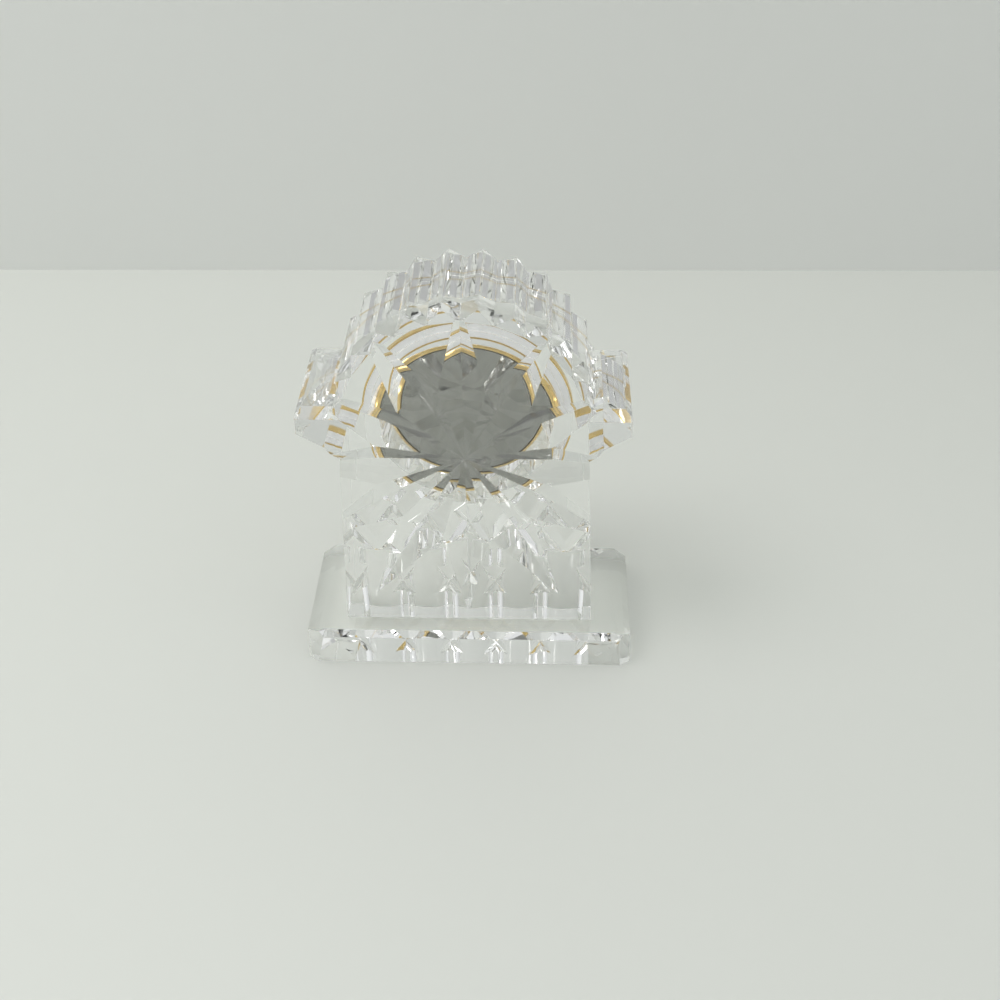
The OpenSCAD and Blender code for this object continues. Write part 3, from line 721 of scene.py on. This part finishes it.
def add_bezel(material):
    """The bezel, which stands on the collar's flange and touches the crystal with its rim."""
    seat = FLANGE_THICKNESS + SEAT_GAP
    inner = CASE_RADIUS - CASE_WALL
    rim = FLANGE_RADIUS + RIM_GAP
    profile = [
        (CASE_RADIUS, seat), (rim, seat), (rim, -TOUCH), (BEZEL_RADIUS, -TOUCH),
        (BEZEL_RADIUS, BEZEL_HEIGHT * BEZEL_STRAIGHT),
        (BEZEL_RADIUS - BEND_INSET, BEZEL_HEIGHT * BEZEL_BEND),
        (BEZEL_RADIUS - TOP_INSET, BEZEL_HEIGHT), (VIEW_RADIUS, BEZEL_HEIGHT),
        (VIEW_RADIUS, LENS_HIGH), (LENS_RADIUS, LENS_HIGH), (LENS_RADIUS, LENS_LOW),
        (inner, LENS_LOW), (inner, SNAP_HEIGHT), (CASE_RADIUS, SNAP_HEIGHT)]
    data = combined("bezel_ring", revolved(profile))
    add_piece(data, material, "insert", "bezel")


def add_collar(material):
    """The soft collar: a flange under the bezel, and fingers that press on the bore's wall."""
    inner = CASE_RADIUS + SEAT_GAP
    outer = BORE_RADIUS - SEAT_GAP
    profile = [
        (inner, FLANGE_THICKNESS), (inner, -FINGER_LENGTH), (outer - TIP_INSET, -FINGER_LENGTH),
        (outer, TIP_LENGTH - FINGER_LENGTH), (outer, SEAT_GAP), (FLANGE_RADIUS, SEAT_GAP),
        (FLANGE_RADIUS, FLANGE_THICKNESS)]
    width = math.pi * outer / FINGERS
    slots = []
    for i in range(FINGERS):
        slot = block((CASE_RADIUS - CUT_MARGIN, SLAB_FRONT + HOOP_LENGTH, -width / 2),
                     (BORE_RADIUS + CUT_MARGIN, SLAB_FRONT + 2 * FINGER_LENGTH, width / 2))
        turn = Matrix.Rotation(2 * math.pi * i / FINGERS, 4, "Y")
        place = Matrix.Translation((0, 0, BORE_HEIGHT)) @ turn
        bmesh.ops.transform(slot, matrix=place, verts=slot.verts)
        slots.append(("DIFFERENCE", slot))
    data = combined("grip_collar", revolved(profile), slots)
    add_piece(data, material, "insert", "grip_ring")


def clock_angle(count, total):
    """The angle of an hour or a minute on the dial, in radians from three o'clock."""
    return math.radians(90 - 360 * count / total)


def on_dial(across, up, forward, centre):
    """A point given in millimetres on the dial's face, seen from the front."""
    return (centre.x + across * MM, centre.y - forward * MM, centre.z + up * MM)


def add_print(name, vertices, faces, material):
    """A printed piece on the dial."""
    mesh = bpy.data.meshes.new(name)
    mesh.from_pydata(vertices, [], faces)
    mesh.validate()
    piece = bpy.data.objects.new(name, mesh)
    bpy.context.scene.collection.objects.link(piece)
    piece.data.materials.append(material)
    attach(piece, "insert")


def add_minute_track(centre, material):
    """Sixty printed strokes round the dial, broader at the hours."""
    vertices = []
    faces = []
    corners = ((0, -1), (1, -1), (1, 1), (0, 1))
    for minute in range(MINUTES):
        angle = clock_angle(minute, MINUTES)
        half = (HOUR_TICK if minute % (MINUTES // HOURS) == 0 else MINUTE_TICK) / 2
        start = len(vertices)
        for height in (0.0, PRINT_THICKNESS):
            for out, side in corners:
                radius = TRACK_RADIUS - TRACK_WIDTH * (1 - out)
                across = radius * math.cos(angle) - side * half * math.sin(angle)
                up = radius * math.sin(angle) + side * half * math.cos(angle)
                vertices.append(on_dial(across, up, height, centre))
        faces += [[start + i for i in face] for face in ((3, 2, 1, 0), (4, 5, 6, 7))]
        for i in range(4):
            j = (i + 1) % 4
            faces.append([start + i, start + j, start + 4 + j, start + 4 + i])
    add_print("minute_track", vertices, faces, material)


def numeral_mesh(hour):
    """The mesh of one hour number, in metres, lying in X and Y."""
    curve = bpy.data.curves.new("numeral", "FONT")
    curve.body = str(hour)
    curve.size = NUMERAL_HEIGHT * FONT_RATIO * MM
    curve.align_x = "CENTER"
    curve.align_y = "CENTER"
    curve.extrude = PRINT_THICKNESS / 2 * MM
    curve.resolution_u = FONT_STEPS
    letter = bpy.data.objects.new("numeral", curve)
    bpy.context.scene.collection.objects.link(letter)
    bpy.context.view_layer.update()
    mesh = bpy.data.meshes.new_from_object(letter)
    bpy.data.objects.remove(letter)
    bpy.data.curves.remove(curve)
    return mesh


def add_numerals(centre, material):
    """Plain hour numbers, upright, as one printed piece."""
    vertices = []
    faces = []
    for hour in range(1, HOURS + 1):
        mesh = numeral_mesh(hour)
        angle = clock_angle(hour, HOURS)
        start = len(vertices)
        xs = [vertex.co.x for vertex in mesh.vertices]
        ys = [vertex.co.y for vertex in mesh.vertices]
        middle_x = (min(xs) + max(xs)) / 2
        middle_y = (min(ys) + max(ys)) / 2
        for vertex in mesh.vertices:
            across = NUMERAL_RADIUS * math.cos(angle) + (vertex.co.x - middle_x) / MM
            up = NUMERAL_RADIUS * math.sin(angle) + (vertex.co.y - middle_y) / MM
            forward = vertex.co.z / MM + PRINT_THICKNESS / 2
            vertices.append(on_dial(across, up, forward, centre))
        faces += [[start + i for i in polygon.vertices] for polygon in mesh.polygons]
        bpy.data.meshes.remove(mesh)
    add_print("dial_numerals", vertices, faces, material)


def stage_material(name, tone, roughness):
    """A matt surface with faint, broad patches."""
    material, tree, shader = new_material(name)
    value = noise(tree, object_coordinates(tree), PATCH_SCALE)
    darker = tuple(PATCH_SHADE * c for c in tone)
    tree.links.new(blended(tree, value, darker, tone), shader.inputs["Base Color"])
    shader.inputs["Roughness"].default_value = roughness
    return material


def add_stage_plane(name, corners, material):
    """One flat surface of the surroundings, which isn't part of the clock."""
    mesh = bpy.data.meshes.new(name)
    mesh.from_pydata([tuple(v * MM for v in corner) for corner in corners], [], [[0, 1, 2, 3]])
    plane = bpy.data.objects.new(name, mesh)
    bpy.context.scene.collection.objects.link(plane)
    plane.data.materials.append(material)


def add_stage():
    """The table, and the wall behind it."""
    reach = STAGE_REACH
    table_end = -WALL_DISTANCE - TABLE_MARGIN
    table = [(-reach, table_end, -TABLE_GAP), (reach, table_end, -TABLE_GAP),
             (reach, reach, -TABLE_GAP), (-reach, reach, -TABLE_GAP)]
    slant = reach * math.tan(math.radians(WALL_TURN))
    left, right = -WALL_DISTANCE + slant, -WALL_DISTANCE - slant
    wall = [(-reach, left, -WALL_SINK), (reach, right, -WALL_SINK),
            (reach, right, reach), (-reach, left, reach)]
    add_stage_plane("table", table, stage_material("table_white", TABLE_TONE, TABLE_ROUGHNESS))
    add_stage_plane("wall", wall, stage_material("wall_white", WALL_TONE, WALL_ROUGHNESS))


def add_window():
    """A square lamp high on the left of the camera, like a window."""
    lamp = bpy.data.lights.new("window", "AREA")
    lamp.shape = "RECTANGLE"
    lamp.size = WINDOW_SIDE * MM
    lamp.size_y = WINDOW_SIDE * MM
    lamp.energy = WINDOW_POWER
    lamp.color = WINDOW_TONE
    holder = bpy.data.objects.new("window", lamp)
    bpy.context.scene.collection.objects.link(holder)
    holder.location = [v * MM for v in WINDOW_PLACE]
    direction = Vector(WINDOW_AIM) - Vector(WINDOW_PLACE)
    holder.rotation_euler = direction.to_track_quat("-Z", "Y").to_euler()


def add_world():
    """A pale room: brightest overhead, darker towards the floor and behind the camera."""
    world = bpy.data.worlds.new("room")
    bpy.context.scene.world = world
    world.use_nodes = True
    tree = world.node_tree
    background = tree.nodes["Background"]
    place = add_node(tree, "ShaderNodeTexCoord")
    split = add_node(tree, "ShaderNodeSeparateXYZ")
    spread = add_node(tree, "ShaderNodeMapRange")
    spread.inputs["From Min"].default_value = ROOM_LOW
    spread.inputs["From Max"].default_value = ROOM_HIGH
    ramp = add_node(tree, "ShaderNodeValToRGB")
    ramp.color_ramp.elements[0].color = (*ROOM_LOW_TONE, 1)
    ramp.color_ramp.elements[1].color = (*ROOM_HIGH_TONE, 1)
    behind = add_node(tree, "ShaderNodeMapRange", interpolation_type="SMOOTHSTEP")
    behind.inputs["From Min"].default_value = DARK_START
    behind.inputs["From Max"].default_value = DARK_END
    behind.inputs["To Min"].default_value = 1.0
    behind.inputs["To Max"].default_value = DARK_SIDE
    tree.links.new(place.outputs["Generated"], split.inputs["Vector"])
    tree.links.new(split.outputs["Z"], spread.inputs["Value"])
    tree.links.new(spread.outputs["Result"], ramp.inputs["Fac"])
    tree.links.new(split.outputs["Y"], behind.inputs["Value"])
    tree.links.new(ramp.outputs["Color"], background.inputs["Color"])
    tree.links.new(behind.outputs["Result"], background.inputs["Strength"])


def add_camera():
    """The camera of the photograph, from its place and its three angles."""
    pitch, yaw, roll = (math.radians(v) for v in (CAMERA_PITCH, CAMERA_YAW, CAMERA_ROLL))
    forward = Vector((math.sin(yaw) * math.cos(pitch), -math.cos(yaw) * math.cos(pitch),
                      -math.sin(pitch)))
    level = Vector((-math.cos(yaw), -math.sin(yaw), 0))
    above = level.cross(forward)
    right = level * math.cos(roll) + above * math.sin(roll)
    up = above * math.cos(roll) - level * math.sin(roll)
    data = bpy.data.cameras.new("photo_camera")
    data.sensor_width = SENSOR_WIDTH
    data.lens = FOCAL_PIXELS * SENSOR_WIDTH / IMAGE_SIDE
    data.clip_start = CAMERA_NEAR * MM
    camera = bpy.data.objects.new("photo_camera", data)
    bpy.context.scene.collection.objects.link(camera)
    place = [v * MM for v in CAMERA_PLACE]
    rows = [[right[i], up[i], -forward[i], place[i]] for i in range(3)]
    camera.matrix_world = Matrix(rows + [[0, 0, 0, 1]])
    bpy.context.scene.camera = camera


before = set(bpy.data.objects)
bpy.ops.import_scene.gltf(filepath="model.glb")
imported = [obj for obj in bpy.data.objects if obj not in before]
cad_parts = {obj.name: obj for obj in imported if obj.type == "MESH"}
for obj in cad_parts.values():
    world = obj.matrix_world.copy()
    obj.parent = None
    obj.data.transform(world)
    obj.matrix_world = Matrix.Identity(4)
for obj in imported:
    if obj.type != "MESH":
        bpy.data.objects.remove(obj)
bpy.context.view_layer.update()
case_low, case_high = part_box("case")
axis_x, axis_z = (case_low.x + case_high.x) / 2, (case_low.z + case_high.z) / 2
dial_centre = Vector((axis_x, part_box("dial_ring")[1].y, axis_z))

materials = {name: metal_material(name, *look) for name, look in METALS.items()}
materials |= {name: paint_material(name, *look) for name, look in PAINTS.items()}
materials |= {"lens_glass": lens_material(), "copper_wire": wire_material()}
for name, nodes in DRESSED.items():
    for node in nodes:
        dress(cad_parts[node], materials[name])

add_crystal(crystal_material())
add_case(materials["gilt"])
add_back(back_material((axis_x, 0, axis_z)))
add_bezel(materials["gilt"])
add_collar(grip_material())
add_numerals(dial_centre, materials["black_print"])
add_minute_track(dial_centre, materials["black_print"])
add_stage()
add_world()
add_window()
add_camera()

scene = bpy.context.scene
scene.view_settings.view_transform = "Standard"
scene.cycles.max_bounces = GLASS_BOUNCES
scene.cycles.transmission_bounces = GLASS_BOUNCES
scene.cycles.glossy_bounces = METAL_BOUNCES
scene.cycles.diffuse_bounces = MATT_BOUNCES
